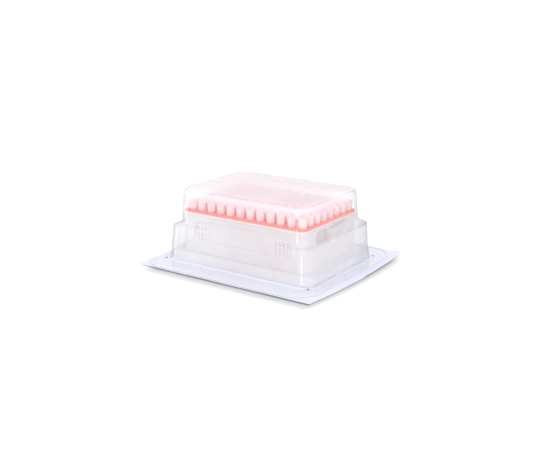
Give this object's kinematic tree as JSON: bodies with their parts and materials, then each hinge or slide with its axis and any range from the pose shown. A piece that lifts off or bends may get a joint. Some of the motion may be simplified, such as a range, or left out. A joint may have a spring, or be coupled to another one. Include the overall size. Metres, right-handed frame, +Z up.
{
  "type": "blister-packed rack of pipette tips",
  "caption": "Clear two-tier blister sealed on a lidding sheet, holding a base and deck plate racked full of pipette tips.",
  "frame": {"origin": "middle of the lidding sheet's underside, on the surface that the pack stands on", "axes": "+X along the rack's long side, +Y along its short side, +Z up through the dome"},
  "size_m": [0.158, 0.1386, 0.0568],
  "materials": {
    "lidding": "smooth",
    "clear_blister": "clear gloss",
    "clear_base": "clear gloss",
    "deck_plastic": "satin",
    "tip_plastic": "translucent satin"
  },
  "bodies": {
    "root": {"lidding_sheet": "lidding", "blister_dome": "clear_blister", "rack_base": "clear_base", "tip_deck": "deck_plastic", "tip_column_01": "tip_plastic", "tip_column_02": "tip_plastic", "tip_column_03": "tip_plastic", "tip_column_04": "tip_plastic", "tip_column_05": "tip_plastic", "tip_column_06": "tip_plastic", "tip_column_07": "tip_plastic", "tip_column_08": "tip_plastic", "tip_column_09": "tip_plastic", "tip_column_10": "tip_plastic", "tip_column_11": "tip_plastic", "tip_column_12": "tip_plastic"}
  },
  "joints": []
}
